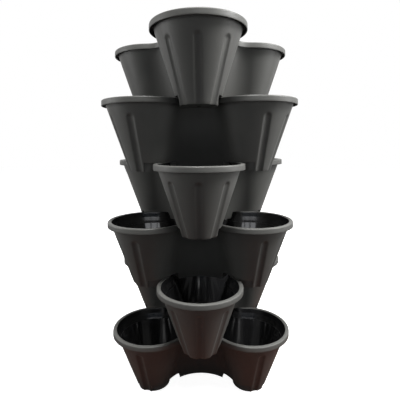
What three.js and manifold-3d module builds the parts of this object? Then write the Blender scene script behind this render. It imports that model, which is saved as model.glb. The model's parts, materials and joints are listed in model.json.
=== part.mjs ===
// A free-standing stack of six identical plant trays. Each tray is one thin-walled moulding:
// three round tapered pots joined at a hub. Every tray is turned half a pot spacing against the
// one below, so its feet drop into the scoops between the pots underneath and lock it in place.
// Millimetres, +Z up. The origin is on the floor, on the axis of the stack. The front is -Y.

import * as THREE from 'three';
import { mergeVertices } from 'three/addons/utils/BufferGeometryUtils.js';
import Module from 'manifold-3d';

const wasm = await Module();
wasm.setup();

// The stack
const TIER_COUNT = 6;
const TIER_HEIGHT = 124; // foot to rim of one tray
const SEAT_DEPTH = 15; // how far a tray sinks below the rim of the one it stands on
const SEAT_GAP = 0.3; // between a tray's seat and the rim that carries it

// The plan of a tray
const POT_COUNT = 3;
const POT_CENTRE_RADIUS = 112; // from the stack's axis to each pot's axis
const RIM_RADIUS = 78; // outside of the rim round a pot

// The rim: a flange with a turned-down lip, hollow underneath
const RIM_HEIGHT = 10;
const RIM_ROUNDING = 2;
const RIM_WIDTH = 7.5; // across the flange's top
const RIM_OVERHANG = 8; // how far the lip's lower edge stands out from the wall
const FLANGE_THICKNESS = 2.2;
const LIP_THICKNESS = 2;

// The walls
const WALL = 2.4;
const WALL_FOOT_RADIUS = 33.5; // outside of a pot's wall at the floor
const FLOOR_THICKNESS = 2.4;
const SHOULDER_DROP = 22; // from the rim's top to the small step inside
const SHOULDER_WIDTH = 1.5;

// The flutes in the outward side of each pot, and the ribs that they make inside
const FLUTE_COUNT = 3;
const FLUTE_SPACING = 45; // degrees round the pot
const FLUTE_WIDTH = 13;
const FLUTE_DEPTH = 2.7;
const FLUTE_DROP = 23; // from the rim's top to the flutes' round upper ends

// The feet, the toes that keep the wall's slope in front of them, and the hub's cup
const FOOT_CLEARANCE = 1.2; // to the rim of the tray below
const FOOT_DRAFT = 1; // how much narrower a foot is at the floor
const TOE_HALF_ANGLE = 60; // degrees each side of the pot's outward direction
const HUB_CLEARANCE = 7; // to the wall of the tray below, inside which the cup hangs

// The drain holes
const FOOT_HOLE_RADIUS = 4;
const HUB_HOLE_RADIUS = 5;

// Facets
const POT_STEPS = 13; // round the outside of one pot
const SCOOP_STEPS = 5; // round one scoop
const FOOT_STEPS = 14;
const SEAT_STEPS = 20; // round the space that a foot stands in
const FLUTE_STEPS = 8;
const FLUTE_END_STEPS = 2;
const HOLE_STEPS = 6;
const OVERRUN = 1; // by which a cutter passes the surface that it cuts

// Worked out from the sizes above
const PITCH = TIER_HEIGHT - SEAT_DEPTH;
const SEAT_Z = SEAT_DEPTH + SEAT_GAP; // underside of the part that sits on the next rim
const FLOOR_Z = SEAT_Z + FLOOR_THICKNESS;
const LIP_Z = TIER_HEIGHT - RIM_HEIGHT;
const FLANGE_Z = TIER_HEIGHT - FLANGE_THICKNESS;
const SHOULDER_Z = TIER_HEIGHT - SHOULDER_DROP;
const FLUTE_TOP_Z = TIER_HEIGHT - FLUTE_DROP;
const WALL_SLOPE = (RIM_RADIUS - RIM_OVERHANG - WALL_FOOT_RADIUS) / LIP_Z;
const HALF_SPACING = Math.PI / POT_COUNT; // from a pot to the scoop beside it, round the axis
const CENTRE_GAP = 2 * POT_CENTRE_RADIUS * Math.sin(HALF_SPACING / 2); // a pot's axis to a scoop's
const POT_SWEEP = (Math.PI + HALF_SPACING) / 2; // where a pot's arc runs into the scoop's
const SCOOP_SWEEP = (Math.PI - HALF_SPACING) / 2;
const FRONT = -Math.PI / 2;
const FOOT_TOP_RADIUS = CENTRE_GAP - RIM_RADIUS - FOOT_CLEARANCE;
const FOOT_RADIUS = FOOT_TOP_RADIUS - FOOT_DRAFT;

// Outside radius of a pot's wall at height z
const wallRadius = (z) => WALL_FOOT_RADIUS + WALL_SLOPE * z;

// How far the hub's cup stays away from a pot's axis
const HUB_SETBACK = CENTRE_GAP - (wallRadius(PITCH) - WALL) + HUB_CLEARANCE;

// Outward direction of pot number `index`
const potAngle = (index) => FRONT + 2 * HALF_SPACING * index;

// Point in plan at this distance from the stack's axis
const polar = (angle, distance) => new THREE.Vector2(
  distance * Math.cos(angle), distance * Math.sin(angle),
);

// The tray's outline in plan where its pots have this radius. The pots' arcs bulge out and the
// scoops' arcs bulge in. They are tangent to each other at every height, because the two radii
// always add up to the distance between a pot's axis and a scoop's.
function outline(radius) {
  const points = [];
  for (let index = 0; index < POT_COUNT; index += 1) {
    const outward = potAngle(index);
    const pot = polar(outward, POT_CENTRE_RADIUS);
    const potArc = new THREE.EllipseCurve(
      pot.x, pot.y, radius, radius, outward - POT_SWEEP, outward + POT_SWEEP, false,
    );
    const between = outward + HALF_SPACING;
    const scoop = polar(between, POT_CENTRE_RADIUS);
    const depth = CENTRE_GAP - radius;
    const inward = between + Math.PI;
    const scoopArc = new THREE.EllipseCurve(
      scoop.x, scoop.y, depth, depth, inward + SCOOP_SWEEP, inward - SCOOP_SWEEP, true,
    );
    points.push(...potArc.getPoints(POT_STEPS).slice(0, -1));
    points.push(...scoopArc.getPoints(SCOOP_STEPS).slice(0, -1));
  }
  return points;
}

// A solid whose skin runs through one outline after another, given as [radius, height] pairs,
// and is closed by a flat face inside the first and the last
function loft(levels) {
  const rings = levels.map(([radius]) => outline(radius));
  const count = rings[0].length;
  const positions = [];
  rings.forEach((ring, level) => ring.forEach((p) => positions.push(p.x, p.y, levels[level][1])));
  const indices = [];
  for (let level = 0; level + 1 < rings.length; level += 1) {
    for (let i = 0; i < count; i += 1) {
      const a = level * count + i;
      const b = level * count + ((i + 1) % count);
      indices.push(a, b, b + count, a, b + count, a + count);
    }
  }
  const last = (rings.length - 1) * count;
  for (const [a, b, c] of THREE.ShapeUtils.triangulateShape(rings[0], [])) {
    indices.push(a, c, b);
  }
  for (const [a, b, c] of THREE.ShapeUtils.triangulateShape(rings.at(-1), [])) {
    indices.push(last + a, last + b, last + c);
  }
  const geometry = new THREE.BufferGeometry();
  geometry.setAttribute('position', new THREE.Float32BufferAttribute(positions, 3));
  geometry.setIndex(indices);
  return geometry;
}

// A closed three.js geometry as a solid that can be joined and cut
function toSolid(geometry) {
  const bare = geometry.clone();
  bare.deleteAttribute('normal');
  bare.deleteAttribute('uv');
  const merged = mergeVertices(bare, 1e-4);
  return new wasm.Manifold(new wasm.Mesh({
    numProp: 3,
    vertProperties: new Float32Array(merged.attributes.position.array),
    triVerts: new Uint32Array(merged.index.array),
  }));
}

// A solid as a flat-shaded three.js geometry
function toGeometry(solid) {
  const mesh = solid.getMesh();
  const geometry = new THREE.BufferGeometry();
  geometry.setAttribute('position', new THREE.Float32BufferAttribute(mesh.vertProperties, 3));
  geometry.setIndex(Array.from(mesh.triVerts));
  const faceted = geometry.toNonIndexed();
  faceted.computeVertexNormals();
  return faceted;
}

const join = (solids) => solids.reduce((all, one) => all.add(one));

// A round solid that stands on height `low`, tapering from one radius to another
function roundBar(centre, low, high, lowRadius, highRadius, steps) {
  const geometry = new THREE.CylinderGeometry(highRadius, lowRadius, high - low, steps);
  geometry.rotateX(Math.PI / 2);
  geometry.translate(centre.x, centre.y, (low + high) / 2);
  return toSolid(geometry);
}

// One for each pot, made by a function of the pot's axis and its outward direction
function perPot(make) {
  const solids = [];
  for (let index = 0; index < POT_COUNT; index += 1) {
    const outward = potAngle(index);
    solids.push(make(polar(outward, POT_CENTRE_RADIUS), outward));
  }
  return join(solids);
}

// The whole tray as a block: the walls' slope from the floor to the flange, and the hollow under
// the rim
function makeOutside() {
  return toSolid(loft([
    [WALL_FOOT_RADIUS, 0],
    [wallRadius(FLANGE_Z), FLANGE_Z],
    [RIM_RADIUS - LIP_THICKNESS, FLANGE_Z],
    [RIM_RADIUS - LIP_THICKNESS, LIP_Z],
    [RIM_RADIUS, LIP_Z],
    [RIM_RADIUS, TIER_HEIGHT - RIM_ROUNDING],
    [RIM_RADIUS - RIM_ROUNDING, TIER_HEIGHT],
  ]));
}

// The space inside the walls, with its small shoulder below the rim
function makeInside() {
  const mouth = RIM_RADIUS - RIM_WIDTH;
  const shoulder = wallRadius(SHOULDER_Z) - WALL;
  return toSolid(loft([
    [wallRadius(FLOOR_THICKNESS) - WALL, FLOOR_THICKNESS],
    [shoulder, SHOULDER_Z],
    [shoulder + SHOULDER_WIDTH, SHOULDER_Z],
    [mouth, TIER_HEIGHT],
    [mouth, TIER_HEIGHT + OVERRUN],
  ]));
}

// A wedge round a pot's outward direction, in which the wall keeps its slope down to the floor.
// Its sides are set back by `inset`.
function toeWedge(pot, outward, inset, low, high) {
  const half = THREE.MathUtils.degToRad(TOE_HALF_ANGLE);
  const start = inset / Math.sin(half);
  const reach = wallRadius(FLOOR_Z) / Math.cos(half); // so that its front edge clears the wall
  const apex = polar(outward, start);
  const corner = (angle) => polar(angle, reach).add(apex);
  const shape = new THREE.Shape([apex, corner(outward - half), corner(outward + half)]);
  const geometry = new THREE.ExtrudeGeometry(shape, { depth: high - low, bevelEnabled: false });
  geometry.translate(pot.x, pot.y, low);
  return toSolid(geometry);
}

// The space round each foot that the rim of the tray below passes through: outside of the foot,
// inside of the hub's cup, and not in front, where the toe is. `grow` thickens it by the walls.
function makeSeatSpace(grow) {
  const top = SEAT_Z + (grow > 0 ? FLOOR_THICKNESS : 0);
  const low = -OVERRUN;
  const setback = HUB_SETBACK + grow;
  const foot = FOOT_RADIUS - grow;
  const footTop = FOOT_TOP_RADIUS - grow;
  return perPot((pot, outward) => roundBar(pot, low, top, setback, setback, SEAT_STEPS)
    .subtract(roundBar(pot, 2 * low, top + OVERRUN, foot, footTop, FOOT_STEPS))
    .subtract(toeWedge(pot, outward, grow, 2 * low, top + OVERRUN)));
}

// A round-ended bar along the wall's slope for each flute of each pot
function makeFlutes(grow) {
  const radius = (FLUTE_WIDTH ** 2 / 4 + FLUTE_DEPTH ** 2) / (2 * FLUTE_DEPTH);
  const tilt = Math.atan(WALL_SLOPE);
  const standoff = (radius - FLUTE_DEPTH) / Math.cos(tilt);
  const top = FLUTE_TOP_Z - radius;
  const length = (top + radius + OVERRUN) / Math.cos(tilt);
  const spacing = THREE.MathUtils.degToRad(FLUTE_SPACING);
  const turns = Array.from({ length: FLUTE_COUNT }, (_, n) => (n - (FLUTE_COUNT - 1) / 2) * spacing);
  return perPot((pot, outward) => join(turns.map((turn) => {
    const bar = new THREE.CapsuleGeometry(radius + grow, length, FLUTE_END_STEPS, FLUTE_STEPS);
    bar.rotateX(Math.PI / 2);
    bar.translate(0, 0, -length / 2);
    bar.rotateY(tilt);
    bar.translate(wallRadius(top) + standoff, 0, top);
    bar.rotateZ(outward + turn);
    bar.translate(pot.x, pot.y, 0);
    return toSolid(bar);
  })));
}

// The drain holes through the floors of the feet and of the hub's cup
function makeDrainHoles() {
  const hole = (x, y, radius) => roundBar(
    new THREE.Vector2(x, y), -OVERRUN, FLOOR_THICKNESS + OVERRUN, radius, radius, HOLE_STEPS,
  );
  return perPot((pot) => hole(pot.x, pot.y, FOOT_HOLE_RADIUS)).add(hole(0, 0, HUB_HOLE_RADIUS));
}

// One tray, standing on the floor with one pot to the front
function makeTray() {
  const outside = makeOutside().subtract(makeSeatSpace(0)).subtract(makeFlutes(0));
  const inside = makeInside().subtract(makeSeatSpace(WALL)).subtract(makeFlutes(WALL));
  return outside.subtract(inside).subtract(makeDrainHoles());
}

const tower = new THREE.Group();
const tray = toGeometry(makeTray());
for (let tier = 1; tier <= TIER_COUNT; tier += 1) {
  const plastic = new THREE.MeshStandardMaterial({ color: 0x3a3a38, roughness: 0.5, metalness: 0 });
  const mesh = new THREE.Mesh(tray, plastic);
  mesh.name = `tier_${tier}`;
  mesh.position.z = (tier - 1) * PITCH;
  mesh.rotation.z = (tier % 2) * HALF_SPACING;
  tower.add(mesh);
}

export default tower;
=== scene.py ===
"""Looks of a free-standing planter tower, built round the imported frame.

The tower is a stack of identical injection-moulded trays. One finely meshed tray is modelled here, and
a copy of it stands for each tray of the frame. Everything is in metres, +Z up, with the front at -Y.
"""

import json
import logging
import math
from dataclasses import dataclass
from enum import Enum

import bmesh
import bpy
from mathutils import Matrix, Vector
from mathutils.bvhtree import BVHTree

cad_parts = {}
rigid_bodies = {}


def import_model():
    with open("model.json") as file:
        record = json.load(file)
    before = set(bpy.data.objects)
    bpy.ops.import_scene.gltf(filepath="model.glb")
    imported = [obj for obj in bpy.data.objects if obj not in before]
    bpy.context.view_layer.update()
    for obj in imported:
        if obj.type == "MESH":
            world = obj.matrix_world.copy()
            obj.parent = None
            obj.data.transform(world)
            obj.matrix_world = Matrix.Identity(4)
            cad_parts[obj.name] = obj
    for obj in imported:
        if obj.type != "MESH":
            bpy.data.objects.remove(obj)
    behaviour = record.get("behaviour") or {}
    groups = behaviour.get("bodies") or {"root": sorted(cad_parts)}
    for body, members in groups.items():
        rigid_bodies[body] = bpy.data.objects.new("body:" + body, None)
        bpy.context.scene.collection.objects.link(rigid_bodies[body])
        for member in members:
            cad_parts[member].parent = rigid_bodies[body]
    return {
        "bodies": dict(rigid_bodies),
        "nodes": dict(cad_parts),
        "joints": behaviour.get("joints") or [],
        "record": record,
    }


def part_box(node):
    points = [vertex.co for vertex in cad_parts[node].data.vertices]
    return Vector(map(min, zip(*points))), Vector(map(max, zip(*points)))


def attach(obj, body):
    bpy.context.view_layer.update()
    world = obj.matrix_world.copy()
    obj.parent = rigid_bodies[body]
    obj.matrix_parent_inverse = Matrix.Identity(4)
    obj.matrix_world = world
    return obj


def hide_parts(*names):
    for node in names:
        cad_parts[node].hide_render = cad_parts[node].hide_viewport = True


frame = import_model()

LOG = logging.getLogger("planter_tower")
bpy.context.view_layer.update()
# Each face's finish, which also picks the faces painted darker as shade inside the pots
POLISH_AND_PAINTED_SHADE = "polish_and_painted_shade"
MM = 0.001
UP = Vector((0, 0, 1))
IN_PLAN = Vector((1, 1, 0))
# Far less than any real size, for merging points and for keeping two faces out of one plane
TINY = 0.001 * MM
# Sockets of a Mix node that mixes colours: the two colours and the result
MIX_FIRST, MIX_SECOND, MIX_RESULT = 6, 7, 2


def linear(colour: str) -> tuple[float, float, float, float]:
    """Turns an sRGB hex colour into the linear values that shaders take.

    Args:
        colour: The colour as six hex digits.

    Returns:
        Red, green, blue and an alpha of one.
    """
    values = []
    for start in (0, 2, 4):
        value = int(colour[start:start + 2], 16) / 255
        values.append(value / 12.92 if value <= 0.04045 else ((value + 0.055) / 1.055) ** 2.4)
    return (*values, 1.0)


def add_node(tree: bpy.types.NodeTree, kind: str, settings: dict | None = None,
             links: dict | None = None) -> bpy.types.Node:
    """Adds a node with its settings and its incoming links.

    Args:
        tree: The node tree to add to.
        kind: Blender's name for the type of node.
        settings: Attribute names, or input names or numbers, with their values.
        links: Input names or numbers, with the output sockets that feed them.

    Returns:
        The new node.
    """
    node = tree.nodes.new(kind)
    for name, value in (settings or {}).items():
        if isinstance(name, str) and hasattr(node, name):
            setattr(node, name, value)
        else:
            node.inputs[name].default_value = value
    for name, output in (links or {}).items():
        tree.links.new(output, node.inputs[name])
    return node


class Finish(Enum):
    """How the mould was finished where it made a face, as the share of a full polish."""

    GRAINED = 0.0
    BRUSHED = 0.7
    POLISHED = 1.0


class Operation(Enum):
    """How two solids are combined."""

    JOIN = "UNION"
    CUT = "DIFFERENCE"
    COMMON = "INTERSECT"


def plan_direction(angle: float) -> Vector:
    """Unit vector in plan at an angle in radians from +X."""
    return Vector((math.cos(angle), math.sin(angle), 0))


def groove_depth(distance: float, radius: float, depth: float, softness: float) -> float:
    """Depth of a round groove at a distance from its centre line.

    Args:
        distance: How far off the centre line.
        radius: The groove's radius.
        depth: Its depth on the centre line.
        softness: The depth over which its edge is softened.

    Returns:
        The depth there, which falls smoothly to nothing past the groove's edge.
    """
    if distance >= radius:
        return 0.0
    rest = (math.hypot(radius - depth, 2 * softness) - (radius - depth)) / 2
    sag = math.sqrt(radius ** 2 - distance ** 2) - (radius - depth)
    return max(0.0, (sag + math.hypot(sag, 2 * softness)) / 2 - rest)


def as_object(name: str, mesh: bmesh.types.BMesh) -> bpy.types.Object:
    """Turns a bmesh into an object of the scene and frees it.

    Args:
        name: Name of the object.
        mesh: Its shape.

    Returns:
        The new object.
    """
    data = bpy.data.meshes.new(name)
    mesh.to_mesh(data)
    mesh.free()
    result = bpy.data.objects.new(name, data)
    bpy.context.scene.collection.objects.link(result)
    return result


def combine(target: bpy.types.Object, tool: bpy.types.Object, operation: Operation) -> None:
    """Joins, cuts or trims one solid by another, which is used up.

    Args:
        target: The solid that stays.
        tool: The solid that is used up.
        operation: What to do.
    """
    modifier = target.modifiers.new("combine", "BOOLEAN")
    modifier.operation = operation.value
    modifier.solver = "MANIFOLD"
    modifier.object = tool
    evaluated = target.evaluated_get(bpy.context.evaluated_depsgraph_get())
    result = bpy.data.meshes.new_from_object(evaluated)
    target.modifiers.clear()
    target.data = result
    bpy.data.objects.remove(tool)


@dataclass(frozen=True)
class Roundings:
    """Radii of a tray's rounded edges, in metres, in the order in which its section meets them."""

    foot: float = 0.9 * MM
    flange_root: float = 1.0 * MM
    lip_root: float = 0.8 * MM
    lip_inside: float = 0.6 * MM
    lip_outside: float = 0.8 * MM
    rim: float = 2.2 * MM
    mouth: float = 1.6 * MM
    collar: float = 0.5 * MM
    shoulder: float = 0.4 * MM
    floor: float = 2 * MM


@dataclass(frozen=True)
class TraySizes:
    """Sizes of one tray, in metres and degrees. Heights are counted from the tray's own feet."""

    height: float
    seat_depth: float
    rounding: Roundings = Roundings()
    pot_centre_radius: float = 112 * MM
    rim_radius: float = 78 * MM
    rim_height: float = 10 * MM
    rim_width: float = 7.5 * MM
    rim_overhang: float = 8 * MM
    rim_draft: float = 0.3 * MM
    flange: float = 2.2 * MM
    lip: float = 2 * MM
    lip_draft: float = 0.2 * MM
    wall: float = 2.4 * MM
    foot_wall_radius: float = 33.5 * MM
    shoulder_drop: float = 22 * MM
    shoulder_step: float = 1.5 * MM
    shoulder_height: float = 0.6 * MM
    collar_draft: float = 1.4 * MM
    flute_count: int = 3
    flute_spacing: float = 45
    flute_width: float = 13 * MM
    flute_depth: float = 2.7 * MM
    flute_drop: float = 23 * MM
    flute_softness: float = 0.4 * MM
    seat_gap: float = 0.3 * MM
    foot_clearance: float = 1.2 * MM
    foot_draft: float = 1 * MM
    toe_half_angle: float = 60
    hub_clearance: float = 7 * MM
    foot_hole_radius: float = 4 * MM
    hub_hole_radius: float = 5 * MM

    @property
    def centre_gap(self) -> float:
        """Distance from a pot's axis to a scoop's, which with three pots equals that to the stack's axis."""
        return self.pot_centre_radius

    @property
    def lip_z(self) -> float:
        """Height of the lip's lower edge."""
        return self.height - self.rim_height

    @property
    def flange_z(self) -> float:
        """Height of the flange's underside."""
        return self.height - self.flange

    @property
    def shoulder_z(self) -> float:
        """Height of the small step inside the pots."""
        return self.height - self.shoulder_drop

    @property
    def flute_top_z(self) -> float:
        """Height of the flutes' round upper ends."""
        return self.height - self.flute_drop

    @property
    def seat_z(self) -> float:
        """Height of the underside that rests on the rim of the tray below."""
        return self.seat_depth + self.seat_gap

    @property
    def slope(self) -> float:
        """How much the wall's radius grows per unit of height."""
        return (self.rim_radius - self.rim_overhang - self.foot_wall_radius) / self.lip_z

    @property
    def foot_top_radius(self) -> float:
        """Outside radius of a foot where it meets the seat."""
        return self.centre_gap - self.rim_radius - self.foot_clearance

    @property
    def hub_setback(self) -> float:
        """How far the hub's cup stays away from a pot's axis."""
        inside_below = self.wall_radius(self.height - self.seat_depth) - self.wall
        return self.centre_gap - inside_below + self.hub_clearance

    def wall_radius(self, z: float) -> float:
        """Outside radius of a pot's wall at height z."""
        return self.foot_wall_radius + self.slope * z

    def foot_radius(self, z: float) -> float:
        """Outside radius of a foot at height z."""
        return self.foot_top_radius - self.foot_draft * (self.seat_z - z) / self.seat_z


@dataclass(frozen=True)
class Corner:
    """One corner of a section through a wall, its rounding, and the rows of mesh up to the next corner."""

    radius: float
    z: float
    rounding: float = 0
    segments: int = 3
    rows: int = 1


@dataclass(frozen=True)
class Facets:
    """How finely the tray is meshed, with angles in degrees and lengths in metres."""

    flute_steps: int = 32
    flute_half_angle: float = 13.5
    plain_angle: float = 3.6
    scoop_steps: int = 28
    wall_rows: int = 20
    flute_end_rows: int = 14
    flute_end_below: float = 14 * MM
    flute_end_above: float = 2 * MM
    lining_rows: int = 6
    floor_edge: float = 8 * MM
    round_steps: int = 96
    hole_steps: int = 40
    sharp_angle: float = 32


@dataclass(frozen=True)
class Tray:
    """One tray, standing on z = 0 with a pot to the front. Its angles in plan are in radians."""

    sizes: TraySizes
    facets: Facets

    POTS = 3
    HALF_SPACING = math.pi / POTS
    FRONT = -math.pi / 2
    # From a pot's outward direction to where its arc runs into a scoop's, and across a whole scoop
    POT_SWEEP = (math.pi + HALF_SPACING) / 2
    SCOOP_SWEEP = math.pi - HALF_SPACING
    # By how much a drain's bar, the lining's block and a seat's space pass the surface that they work on
    OVERRUN = 4 * MM
    SEAT_OVERRUN = 5 * MM
    # How far a toe's wedge reaches, as a multiple of the wall's radius, so as to pass the wall
    TOE_REACH = 1.2
    # How far inside the tray's outer face the lining ends
    LINING_INSET = 0.4 * MM
    # The core's faces lie this far below the rim's top, within this margin of the walls, and with the
    # upright part of their normals above the last value, because a core leaves no undercuts
    RIM_TOP = 1 * MM
    WALL_MARGIN = 0.3 * MM
    UNDERCUT = -0.1

    def outward(self, pot: int) -> float:
        """Angle in plan of the direction from the stack's axis to a pot."""
        return self.FRONT + 2 * self.HALF_SPACING * pot

    def pot_axis(self, pot: int) -> Vector:
        """Point on the floor where a pot's axis stands."""
        return plan_direction(self.outward(pot)) * self.sizes.pot_centre_radius

    def scoop_axis(self, pot: int) -> Vector:
        """Point on the floor where the axis of the scoop after a pot stands."""
        return plan_direction(self.outward(pot) + self.HALF_SPACING) * self.sizes.pot_centre_radius

    def section(self) -> list[Corner]:
        """Section through the moulding, from the outside bottom edge over the rim to the floor inside.

        Returns:
            The section's corners in order.
        """
        s, f, r = self.sizes, self.facets, self.sizes.rounding
        mouth = s.rim_radius - s.rim_width
        shoulder = s.wall_radius(s.shoulder_z) - s.wall
        fine_low = s.flute_top_z - f.flute_end_below
        fine_high = s.flute_top_z + f.flute_end_above
        floor = s.wall_radius(s.wall) - s.wall
        return [
            Corner(s.wall_radius(0) - f.floor_edge, 0),
            Corner(s.wall_radius(0), 0, r.foot, rows=f.wall_rows),
            Corner(s.wall_radius(fine_low), fine_low, rows=f.flute_end_rows),
            Corner(s.wall_radius(fine_high), fine_high, rows=5),
            Corner(s.wall_radius(s.flange_z), s.flange_z, r.flange_root),
            Corner(s.rim_radius - s.lip, s.flange_z, r.lip_root, rows=2),
            Corner(s.rim_radius - s.lip + s.lip_draft, s.lip_z, r.lip_inside),
            Corner(s.rim_radius, s.lip_z, r.lip_outside, rows=3),
            Corner(s.rim_radius - s.rim_draft, s.height, r.rim, segments=6, rows=2),
            Corner(mouth, s.height, r.mouth, segments=5, rows=2),
            Corner(mouth - s.collar_draft, s.lip_z, r.collar, segments=2, rows=2),
            Corner(shoulder + s.shoulder_step, s.shoulder_z + s.shoulder_height, r.shoulder, segments=2),
            Corner(shoulder, s.shoulder_z, r.shoulder, segments=2, rows=3),
            Corner(s.wall_radius(fine_high) - s.wall, fine_high, rows=f.flute_end_rows),
            Corner(s.wall_radius(fine_low) - s.wall, fine_low, rows=f.wall_rows),
            Corner(floor, s.wall, r.floor, segments=4),
            Corner(floor - f.floor_edge, s.wall),
        ]

    def lay_section(self, mesh: bmesh.types.BMesh, corners: list[Corner], start: Vector,
                    angle: float) -> list:
        """Draws a section as a chain of edges in a vertical plane.

        Args:
            mesh: The mesh to draw in.
            corners: The section's corners.
            start: The axis that the corners' radii are counted from.
            angle: Direction of the plane, in plan.

        Returns:
            The chain's vertices and edges.
        """
        direction = plan_direction(angle)
        places = [start + direction * corner.radius + UP * corner.z for corner in corners]
        points = [mesh.verts.new(place) for place in places]
        for pair in zip(points, points[1:]):
            mesh.edges.new(pair)
        for place, after, corner in zip(places, places[1:], corners):
            if corner.rows > 1:
                edge = min(mesh.edges, key=lambda e: (e.verts[0].co + e.verts[1].co - place - after).length)
                bmesh.ops.subdivide_edges(mesh, edges=[edge], cuts=corner.rows - 1)
        for place, corner in zip(places[1:-1], corners[1:-1]):
            if corner.rounding:
                self.round_corner(mesh, place, corner)
        return mesh.verts[:] + mesh.edges[:]

    def round_corner(self, mesh: bmesh.types.BMesh, place: Vector, corner: Corner) -> None:
        """Rounds one corner of a section drawn as a chain.

        Args:
            mesh: The mesh that holds the chain.
            place: Where the corner is.
            corner: Its rounding.
        """
        point = min(mesh.verts, key=lambda vert: (vert.co - place).length)
        before, after = (edge.other_vert(point).co - place for edge in point.link_edges)
        turn = math.pi - before.angle(after)
        bmesh.ops.bevel(mesh, geom=[point], offset=corner.rounding * math.tan(turn / 2),
                        offset_type="OFFSET", segments=corner.segments, profile=0.5, affect="VERTICES",
                        material=-1, clamp_overlap=True)

    def sweep(self, corners: list[Corner]) -> bmesh.types.BMesh:
        """Spins a section round the pots and, the other way, round the scoops, and closes its floors.

        Args:
            corners: The section, with radii from a pot's axis.

        Returns:
            A new closed mesh.
        """
        mesh = bmesh.new()
        moving = self.lay_section(mesh, corners, self.pot_axis(0), self.outward(0) - self.POT_SWEEP)
        for pot in range(self.POTS):
            for angle, steps in self.pot_steps():
                moving = self.spin(mesh, moving, self.pot_axis(pot), angle, steps)
            moving = self.spin(mesh, moving, self.scoop_axis(pot), -self.SCOOP_SWEEP, self.facets.scoop_steps)
        bmesh.ops.remove_doubles(mesh, verts=mesh.verts, dist=TINY)
        open_edges = [edge for edge in mesh.edges if edge.is_boundary]
        bmesh.ops.edgeloop_fill(mesh, edges=open_edges)
        bmesh.ops.recalc_face_normals(mesh, faces=mesh.faces)
        return mesh

    def pot_steps(self) -> list[tuple[float, int]]:
        """Splits a pot's sweep into stretches, fine at the flutes and coarser between them.

        Returns:
            Each stretch's angle and its number of steps.
        """
        s, f = self.sizes, self.facets
        fine = math.radians(2 * f.flute_half_angle)
        between = math.radians(s.flute_spacing) - fine
        flutes = s.flute_count * fine + (s.flute_count - 1) * between
        side = self.POT_SWEEP - flutes / 2
        plain = math.radians(f.plain_angle)
        stretches = [(side, round(side / plain))]
        for flute in range(s.flute_count):
            stretches.append((fine, f.flute_steps))
            if flute + 1 < s.flute_count:
                stretches.append((between, max(1, round(between / plain))))
        stretches.append((side, round(side / plain)))
        return stretches

    def spin(self, mesh: bmesh.types.BMesh, moving: list, axis: Vector, angle: float, steps: int) -> list:
        """Sweeps a chain of edges round an upright axis.

        Args:
            mesh: The mesh that holds the chain.
            moving: The chain's vertices and edges.
            axis: A point on the axis.
            angle: How far to turn.
            steps: In how many steps.

        Returns:
            The chain's copy at the end of the sweep.
        """
        result = bmesh.ops.spin(mesh, geom=moving, cent=axis, axis=UP, angle=angle, steps=steps,
                                use_merge=False, use_duplicate=False)
        return result["geom_last"]

    def press_flutes(self, mesh: bmesh.types.BMesh, inset: float = 0) -> None:
        """Presses the round-ended flutes into the pots' walls, which makes ribs inside.

        Args:
            mesh: The swept tray.
            inset: How far inside the real outer face this mesh's own lies.
        """
        s = self.sizes
        radius = (s.flute_width ** 2 / 4 + s.flute_depth ** 2) / (2 * s.flute_depth)
        lean = math.cos(math.atan(s.slope))
        end = s.flute_top_z - radius
        for pot in range(self.POTS):
            centre = self.pot_axis(pot)
            for number in range(s.flute_count):
                turn = math.radians(s.flute_spacing) * (number - (s.flute_count - 1) / 2)
                along = plan_direction(self.outward(pot) + turn)
                across = plan_direction(self.outward(pot) + turn + math.pi / 2)
                for vert in mesh.verts:
                    out = (vert.co - centre) * IN_PLAN
                    side = out.dot(across)
                    sunk = s.wall_radius(vert.co.z) - out.length
                    off_wall = vert.co.z > s.lip_z or sunk > 2 * s.wall
                    if off_wall or abs(side) > s.flute_width or out.dot(along) < 0:
                        continue
                    offset = s.wall if sunk > s.wall / 2 + inset else inset
                    past = max(0.0, (vert.co.z - end) / lean)
                    off_line = math.hypot(side, past)
                    push = groove_depth(off_line, radius + offset, s.flute_depth, s.flute_softness)
                    vert.co -= out.normalized() * push / lean

    def seat_space(self, grow: float) -> bpy.types.Object:
        """Makes the space round each foot that the rim of the tray below passes through.

        Args:
            grow: By how much the space is thickened, to make the walls that line it.

        Returns:
            One object that holds the space of every pot.
        """
        s = self.sizes
        top = s.seat_z + grow
        low = -self.SEAT_OVERRUN
        setback = s.hub_setback + grow
        steps = self.facets.round_steps
        parts = []
        for pot in range(self.POTS):
            axis = self.pot_axis(pot)
            ring = self.round_bar("seat_ring", axis, low, top, setback, setback, steps)
            foot = self.round_bar("foot", axis, 2 * low, top + s.seat_z, s.foot_radius(2 * low) - grow,
                                  s.foot_radius(2 * s.seat_z) - grow, steps)
            combine(ring, foot, Operation.CUT)
            combine(ring, self.toe_wedge(pot, grow, 2 * low, top + s.seat_z), Operation.CUT)
            parts.append(ring)
        for part in parts[1:]:
            combine(parts[0], part, Operation.JOIN)
        return parts[0]

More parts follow.
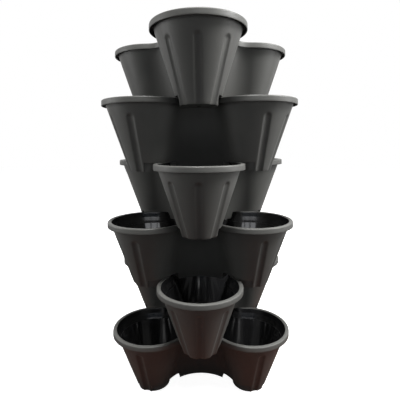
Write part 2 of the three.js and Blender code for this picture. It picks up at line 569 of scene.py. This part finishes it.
    def toe_wedge(self, pot: int, inset: float, low: float, high: float) -> bpy.types.Object:
        """Makes the wedge in front of a pot's axis in which the wall keeps its slope down to the floor.

        Args:
            pot: Which pot.
            inset: How far the wedge's sides are set back.
            low: Height of its underside.
            high: Height of its top.

        Returns:
            The wedge as an object.
        """
        s = self.sizes
        half = math.radians(s.toe_half_angle)
        outward = self.outward(pot)
        reach = self.TOE_REACH * s.wall_radius(s.seat_z + s.wall) / math.cos(half)
        apex = self.pot_axis(pot) + plan_direction(outward) * (inset / math.sin(half)) + UP * low
        mesh = bmesh.new()
        tips = [apex + plan_direction(outward + side * half) * reach for side in (-1, 1)]
        corners = [mesh.verts.new(point) for point in (apex, *tips)]
        face = mesh.faces.new(corners)
        lifted = bmesh.ops.extrude_face_region(mesh, geom=[face])["geom"]
        lifted_verts = [part for part in lifted if isinstance(part, bmesh.types.BMVert)]
        bmesh.ops.translate(mesh, verts=lifted_verts, vec=UP * (high - low))
        bmesh.ops.recalc_face_normals(mesh, faces=mesh.faces)
        return as_object("toe_wedge", mesh)

    def round_bar(self, name: str, axis: Vector, low: float, high: float, low_radius: float,
                  high_radius: float, steps: int) -> bpy.types.Object:
        """Makes an upright round solid, tapering from one radius to another.

        Args:
            name: Name of the object.
            axis: A point on its axis.
            low: Height of its underside.
            high: Height of its top.
            low_radius: Radius of its underside.
            high_radius: Radius of its top.
            steps: Number of its sides.

        Returns:
            The solid as an object.
        """
        mesh = bmesh.new()
        place = Matrix.Translation(Vector((axis.x, axis.y, (low + high) / 2)))
        bmesh.ops.create_cone(mesh, cap_ends=True, segments=steps, radius1=low_radius,
                              radius2=high_radius, depth=high - low, matrix=place)
        return as_object(name, mesh)

    def lining(self) -> bpy.types.Object:
        """Makes the walls that line the seat spaces, filling them for now.

        Returns:
            The lining, trimmed to just inside the tray's outer face.
        """
        s = self.sizes
        inset = self.LINING_INSET
        top = s.seat_z + s.wall + self.OVERRUN
        corners = [Corner(s.wall_radius(0) - inset, -TINY, rows=self.facets.lining_rows),
                   Corner(s.wall_radius(top) - inset, top)]
        block = self.sweep(corners)
        self.press_flutes(block, inset)
        block = as_object("seat_block", block)
        combine(block, self.seat_space(s.wall), Operation.COMMON)
        return block

    def drains(self) -> list[bpy.types.Object]:
        """Makes the bars that drill the drain holes.

        Returns:
            One bar for each foot and one for the hub.
        """
        s = self.sizes
        high = s.wall + self.OVERRUN
        places = [(self.pot_axis(pot), s.foot_hole_radius) for pot in range(self.POTS)]
        places.append((Vector(), s.hub_hole_radius))
        return [self.round_bar("drain", axis, -self.OVERRUN, high, radius, radius, self.facets.hole_steps)
                for axis, radius in places]

    def reach(self, point: Vector) -> float:
        """Works out which radius the pots would need for the tray's outline to pass through a point.

        Args:
            point: The point, whose height doesn't matter.

        Returns:
            The pots' radius.
        """
        pots = range(self.POTS)
        for pot in pots:
            out = (point - self.pot_axis(pot)) * IN_PLAN
            if out.length and out.angle(plan_direction(self.outward(pot))) < self.POT_SWEEP:
                nearest = min((point - self.pot_axis(other)).xy.length for other in pots)
                if out.length <= nearest:
                    return out.length
        return self.sizes.centre_gap - min((point - self.scoop_axis(pot)).xy.length for pot in pots)

    def mark_inside(self, mesh: bpy.types.Mesh) -> None:
        """Marks the faces that the mould's core made: brushed near the rim and polished below; the mark also
        colours them darker as painted shade.

        Args:
            mesh: The finished tray.
        """
        s = self.sizes
        skin = BVHTree.FromPolygons([vert.co for vert in mesh.vertices],
                                    [face.vertices for face in mesh.polygons])
        values = []
        for face in mesh.polygons:
            z = face.center.z
            inside = (z < s.height - self.RIM_TOP and face.normal.z > self.UNDERCUT
                      and self.reach(face.center) < s.wall_radius(z) + self.WALL_MARGIN)
            # The core is drawn straight up, so it touches only what lies open to the sky.
            if inside and skin.ray_cast(face.center + face.normal * s.wall / 10, UP)[0] is None:
                finish = Finish.BRUSHED if z > s.shoulder_z else Finish.POLISHED
            else:
                finish = Finish.GRAINED
            values.append(finish.value)
        mesh.attributes.new(POLISH_AND_PAINTED_SHADE, "FLOAT", "FACE").data.foreach_set("value", values)

    def build(self) -> bpy.types.Mesh:
        """Models the whole tray.

        Returns:
            The tray's mesh, smooth with sharp edges where it turns.
        """
        skin = self.sweep(self.section())
        self.press_flutes(skin)
        tray = as_object("tray", skin)
        combine(tray, self.lining(), Operation.JOIN)
        combine(tray, self.seat_space(0), Operation.CUT)
        for bar in self.drains():
            combine(tray, bar, Operation.CUT)
        mesh = tray.data
        bpy.data.objects.remove(tray)
        self.mark_inside(mesh)
        mesh.shade_smooth()
        mesh.set_sharp_from_angle(angle=math.radians(self.facets.sharp_angle))
        LOG.info("tray: %d faces", len(mesh.polygons))
        return mesh


@dataclass(frozen=True)
class MouldedPolypropylene:
    """Injection-moulded polypropylene: dark, matt and finely grained, and smoother where the core was, where
    it is also painted darker as shade.
    """

    name: str = "moulded_polypropylene"
    ior: float = 1.49
    colour: str = "4c4c4a"
    mottle: str = "535350"
    mottle_size: float = 45 * MM
    # Painted shade: the near-black colour of the insides stands in for the shade in the pots
    core_colour_with_painted_shade: str = "1d1d1e"
    streak_width: float = 5 * MM
    streak_length: float = 120 * MM
    streak_noise: tuple[float, float] = (0.3, 0.7)
    smooth: float = 0.42
    rough: float = 0.52
    polished: float = 0.12
    shine: float = 0.30
    core_shine: float = 1.0
    grain: float = 1.6 * MM
    grain_height: float = 0.05 * MM
    relief: float = 0.6
    core_relief: float = 0.15

    def build(self) -> bpy.types.Material:
        """Makes the material.

        Returns:
            The material, with its patterns at their real sizes.
        """
        material = bpy.data.materials.new(self.name)
        material.use_nodes = True
        tree = material.node_tree
        shader = tree.nodes["Principled BSDF"]
        shader.inputs["IOR"].default_value = self.ior
        place = add_node(tree, "ShaderNodeTexCoord").outputs["Object"]
        polish = add_node(tree, "ShaderNodeAttribute", {"attribute_name": POLISH_AND_PAINTED_SHADE}).outputs["Fac"]
        core = add_node(tree, "ShaderNodeMath", {"operation": "GREATER_THAN", 1: Finish.BRUSHED.value / 2},
                        {0: polish}).outputs[0]
        # Pigment never mixes evenly, so the colour drifts a little over a few centimetres.
        drift = add_node(tree, "ShaderNodeTexNoise", {"Scale": 1 / self.mottle_size, "Detail": 3.0},
                         {"Vector": place})
        outside = add_node(tree, "ShaderNodeMix", {"data_type": "RGBA", MIX_FIRST: linear(self.colour),
                                                   MIX_SECOND: linear(self.mottle)},
                           {0: drift.outputs["Fac"]})
        # Partly painted shade: the inside is coloured nearly black for the shade in the pots; partly real, as
        # without the grain to scatter light the inside looks darker, with clear reflections.
        colour = add_node(tree, "ShaderNodeMix", {"data_type": "RGBA", MIX_SECOND: linear(self.core_colour_with_painted_shade)},
                          {0: core, MIX_FIRST: outside.outputs[MIX_RESULT]})
        tree.links.new(colour.outputs[MIX_RESULT], shader.inputs["Base Color"])
        shine = add_node(tree, "ShaderNodeMapRange", {"To Min": self.shine, "To Max": self.core_shine},
                         {"Value": core})
        # The export keeps no linked specular level, so the socket itself holds the outside's.
        shader.inputs["Specular IOR Level"].default_value = self.shine
        tree.links.new(shine.outputs["Result"], shader.inputs["Specular IOR Level"])
        # The draw from the mould leaves faint upright streaks that catch the light a little differently.
        streak_scale = (1 / self.streak_width, 1 / self.streak_width, 1 / self.streak_length)
        drawn = add_node(tree, "ShaderNodeMapping", {"Scale": streak_scale}, {"Vector": place})
        streaks = add_node(tree, "ShaderNodeTexNoise", {"Scale": 1.0, "Detail": 2.0},
                           {"Vector": drawn.outputs[0]})
        noise_low, noise_high = self.streak_noise
        grained = add_node(tree, "ShaderNodeMapRange", {"From Min": noise_low, "From Max": noise_high,
                                                        "To Min": self.smooth, "To Max": self.rough},
                           {"Value": streaks.outputs["Fac"]})
        roughness = add_node(tree, "ShaderNodeMapRange", {"To Max": self.polished},
                             {"Value": polish, "To Min": grained.outputs["Result"]})
        tree.links.new(roughness.outputs["Result"], shader.inputs["Roughness"])
        # The mould's spark-eroded grain is about 0.1 mm, too fine to show, so it is drawn coarser.
        grain = add_node(tree, "ShaderNodeTexNoise", {"Scale": 1 / self.grain, "Detail": 4.0},
                         {"Vector": place})
        relief = add_node(tree, "ShaderNodeMapRange", {"To Min": self.relief, "To Max": self.core_relief},
                          {"Value": core})
        bump = add_node(tree, "ShaderNodeBump", {"Distance": self.grain_height},
                        {"Height": grain.outputs["Fac"], "Strength": relief.outputs["Result"]})
        tree.links.new(bump.outputs["Normal"], shader.inputs["Normal"])
        return material


class Tower:
    """The stack of trays that stands for the frame's nodes."""

    def __init__(self, packed: dict) -> None:
        """Reads the stack's steps from the frame.

        Args:
            packed: The loaded frame.
        """
        self.tiers = sorted(packed["nodes"], key=lambda tier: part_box(tier)[0][2])
        bodies = packed["record"]["behaviour"]["bodies"]
        self.body_of = {node: body for body, nodes in bodies.items() for node in nodes}
        self.feet = [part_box(tier)[0][2] for tier in self.tiers]
        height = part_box(self.tiers[0])[1][2] - self.feet[0]
        self.sizes = TraySizes(height=height, seat_depth=height - (self.feet[1] - self.feet[0]))

    def build(self, material: bpy.types.Material) -> None:
        """Models the tray once and stands a copy of it in for each node.

        Args:
            material: What the trays are made of.
        """
        mesh = Tray(self.sizes, Facets()).build()
        for index, (tier, foot) in enumerate(zip(self.tiers, self.feet)):
            copy = mesh.copy()
            # The top tray has a pot to the front, and each tray is turned against the next.
            turned = (len(self.tiers) - 1 - index) % 2
            turn = Matrix.Rotation(Tray.HALF_SPACING * turned, 4, "Z")
            copy.transform(Matrix.Translation((0, 0, foot)) @ turn)
            copy.materials.clear()
            copy.materials.append(material)
            piece = bpy.data.objects.new(f"{tier}_tray", copy)
            bpy.context.scene.collection.objects.link(piece)
            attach(piece, self.body_of[tier])
            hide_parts(tier)
            LOG.info("%s rides on %s, foot at %.1f mm", piece.name, self.body_of[tier], foot / MM)


@dataclass(frozen=True)
class PhotoCamera:
    """The photograph's viewpoint, as fitted to the tower's rims: distances in metres, angles in degrees."""

    distance: float = 0.6892
    height: float = 0.4839
    azimuth: float = 0.944
    sideways: float = -0.0008
    pitch: float = 9.404
    roll: float = -0.38
    focal_pixels: float = 339.2
    frame_pixels: float = 400
    sensor_millimetres: float = 36
    clip_start: float = 10 * MM

    def build(self) -> None:
        """Makes the camera and looks through it."""
        data = bpy.data.cameras.new("photo_camera")
        data.sensor_width = self.sensor_millimetres
        data.lens = self.focal_pixels / self.frame_pixels * data.sensor_width
        data.clip_start = self.clip_start
        camera = bpy.data.objects.new("photo_camera", data)
        turn = Matrix.Rotation(math.radians(self.azimuth), 4, "Z")
        place = Matrix.Translation((self.sideways, -self.distance, self.height))
        tilt = Matrix.Rotation(math.radians(90 - self.pitch), 4, "X")
        roll = Matrix.Rotation(math.radians(self.roll), 4, "Z")
        camera.matrix_world = turn @ place @ tilt @ roll
        bpy.context.scene.collection.objects.link(camera)
        bpy.context.scene.camera = camera


@dataclass(frozen=True)
class SoftBox:
    """A rectangular studio light: where it stands, what it aims at, its size, power and colour.

    A paired one stands on the left and has its mirror image on the right.
    """

    name: str
    place: tuple[float, float, float]
    target: tuple[float, float, float]
    size: tuple[float, float]
    power: float
    colour: str = "ffffff"
    paired: bool = False

    def build(self) -> None:
        """Makes the light, or both of the pair, and aims it."""
        sides = {"left_": 1, "right_": -1} if self.paired else {"": 1}
        for prefix, side in sides.items():
            data = bpy.data.lights.new(prefix + self.name, "AREA")
            data.shape = "RECTANGLE"
            data.size, data.size_y = self.size
            data.energy = self.power
            data.color = linear(self.colour)[:3]
            light = bpy.data.objects.new(data.name, data)
            place = Vector((side * self.place[0], *self.place[1:]))
            aim = (Vector(self.target) - place).to_track_quat("-Z", "Y")
            light.matrix_world = Matrix.Translation(place) @ aim.to_matrix().to_4x4()
            bpy.context.scene.collection.objects.link(light)


@dataclass(frozen=True)
class SoftStep:
    """A soft rise from nothing to one between two values."""

    start: float
    end: float

    def settings(self) -> dict:
        """The settings that make a Map Range node follow the step."""
        return {"interpolation_type": "SMOOTHSTEP", "From Min": self.start, "From Max": self.end}


@dataclass(frozen=True)
class Studio:
    """A white surround that lights the tower as a room: bright low down, dim in front, with a brown floor.

    A lamp overhead, two windows in front and lamps at the sides add to it.
    """

    floor_size: float = 12.0
    paint: str = "e8e8e8"
    boards: str = "5c3326"
    far_floor: str = "202020"
    boards_end: SoftStep = SoftStep(0.25, 0.5)
    mirrored_floor: SoftStep = SoftStep(0.45, 0.9)
    floor_glow: float = 0.93
    floor_shine: float = 0.3
    ceiling: SoftStep = SoftStep(0.15, 0.5)
    lit_side: SoftStep = SoftStep(-0.8, -0.2)
    background: SoftStep = SoftStep(0.0, 0.3)
    dim_light: str = "1a2a3a"
    white: str = "ffffff"
    lights: tuple[SoftBox, ...] = (
        SoftBox("key", (0, -0.55, 2.0), (0, -0.05, 0.3), (0.6, 0.4), 51),
        SoftBox("pane", (-0.26, -1.3, 0.82), (0, 0, 0.4), (0.44, 0.3), 0.72, "fafcff", paired=True),
        SoftBox("sill", (-0.26, -1.3, 0.15), (0, 0, 0.15), (0.44, 0.3), 0.22, "fafcff", paired=True),
        SoftBox("side", (-1.3, -0.2, 0.7), (0, 0, 0.4), (0.6, 0.8), 7.5, paired=True),
        SoftBox("high_right", (0.9, -0.3, 1.3), (0, 0, 0.5), (0.4, 0.4), 24),
    )

    def build(self) -> None:
        """Makes the floor, the surround and the lights."""
        mesh = bmesh.new()
        bmesh.ops.create_grid(mesh, x_segments=1, y_segments=1, size=self.floor_size / 2)
        floor = as_object("studio_floor", mesh)
        floor.data.materials.append(self.floor_material())
        self.surround()
        for light in self.lights:
            light.build()
        bpy.context.scene.view_settings.view_transform = "Standard"

    def white_share(self, tree: bpy.types.NodeTree, mirrored: bpy.types.NodeSocket) -> bpy.types.NodeSocket:
        """Adds the share of plain white that a ray meets, which is all for the camera and through glass.

        Args:
            tree: The node tree to add to.
            mirrored: The share for reflections.

        Returns:
            The share as an output.
        """
        path = add_node(tree, "ShaderNodeLightPath")
        clear = add_node(tree, "ShaderNodeMath", {"operation": "MAXIMUM"},
                         {0: path.outputs["Is Camera Ray"], 1: path.outputs["Is Transmission Ray"]})
        glossy = add_node(tree, "ShaderNodeMath", {"operation": "MULTIPLY"},
                          {0: path.outputs["Is Glossy Ray"], 1: mirrored})
        share = add_node(tree, "ShaderNodeMath", {"operation": "MAXIMUM"},
                         {0: clear.outputs[0], 1: glossy.outputs[0]})
        return share.outputs[0]

    def floor_material(self) -> bpy.types.Material:
        """Makes the floor: white where it is seen, with the tower's shadow, and dark boards where it lights.

        Returns:
            The floor's material.
        """
        material = bpy.data.materials.new("painted_floor")
        material.use_nodes = True
        tree = material.node_tree
        tree.nodes.clear()
        place = add_node(tree, "ShaderNodeTexCoord").outputs["Object"]
        away = add_node(tree, "ShaderNodeVectorMath", {"operation": "LENGTH"}, {0: place}).outputs["Value"]
        off_boards = add_node(tree, "ShaderNodeMapRange", self.boards_end.settings(), {"Value": away})
        colour = add_node(tree, "ShaderNodeMix", {"data_type": "RGBA", MIX_FIRST: linear(self.boards),
                                                  MIX_SECOND: linear(self.far_floor)},
                          {0: off_boards.outputs["Result"]})
        real = add_node(tree, "ShaderNodeBsdfDiffuse", {}, {"Color": colour.outputs[MIX_RESULT]})
        pale = add_node(tree, "ShaderNodeBsdfDiffuse", {"Color": linear(self.paint)})
        glow = add_node(tree, "ShaderNodeEmission", {"Strength": self.floor_glow})
        shown = add_node(tree, "ShaderNodeAddShader", {}, {0: pale.outputs[0], 1: glow.outputs[0]})
        # The plastic is matt, so it mirrors only a part of the floor's white, and none of it close by.
        far = add_node(tree, "ShaderNodeMapRange", self.mirrored_floor.settings(), {"Value": away})
        mirrored = add_node(tree, "ShaderNodeMath", {"operation": "MULTIPLY", 1: self.floor_shine},
                            {0: far.outputs["Result"]})
        share = self.white_share(tree, mirrored.outputs[0])
        mixed = add_node(tree, "ShaderNodeMixShader", {}, {0: share, 1: real.outputs[0], 2: shown.outputs[0]})
        add_node(tree, "ShaderNodeOutputMaterial", {}, {"Surface": mixed.outputs[0]})
        return material

    def surround(self) -> None:
        """Makes the world: white where it is seen, and where it lights a room with white round its foot."""
        world = bpy.data.worlds.new("white_surround")
        bpy.context.scene.world = world
        world.use_nodes = True
        tree = world.node_tree
        tree.nodes.clear()
        direction = add_node(tree, "ShaderNodeTexCoord").outputs["Generated"]
        part = add_node(tree, "ShaderNodeSeparateXYZ", {}, {0: direction})
        low = add_node(tree, "ShaderNodeMapRange", {**self.ceiling.settings(), "To Min": 1.0, "To Max": 0.0},
                       {"Value": part.outputs["Z"]})
        lit = add_node(tree, "ShaderNodeMapRange", self.lit_side.settings(), {"Value": part.outputs["Y"]})
        tint = add_node(tree, "ShaderNodeMix", {"data_type": "RGBA", MIX_FIRST: linear(self.dim_light),
                                                MIX_SECOND: linear(self.white)},
                        {0: lit.outputs["Result"]})
        room = add_node(tree, "ShaderNodeBackground", {},
                        {"Color": tint.outputs[MIX_RESULT], "Strength": low.outputs["Result"]})
        shown = add_node(tree, "ShaderNodeBackground", {"Color": linear(self.white)})
        # Reflections meet the white background too, on the side where the camera sees it.
        behind = add_node(tree, "ShaderNodeMapRange", self.background.settings(),
                          {"Value": part.outputs["Y"]})
        share = self.white_share(tree, behind.outputs["Result"])
        mixed = add_node(tree, "ShaderNodeMixShader", {}, {0: share, 1: room.outputs[0], 2: shown.outputs[0]})
        add_node(tree, "ShaderNodeOutputWorld", {}, {"Surface": mixed.outputs[0]})


def main() -> None:
    """Builds the studio and the tower."""
    logging.basicConfig(level=logging.INFO, format="%(name)s: %(message)s")
    PhotoCamera().build()
    Studio().build()
    Tower(frame).build(MouldedPolypropylene().build())


if __name__ == "__main__":
    main()
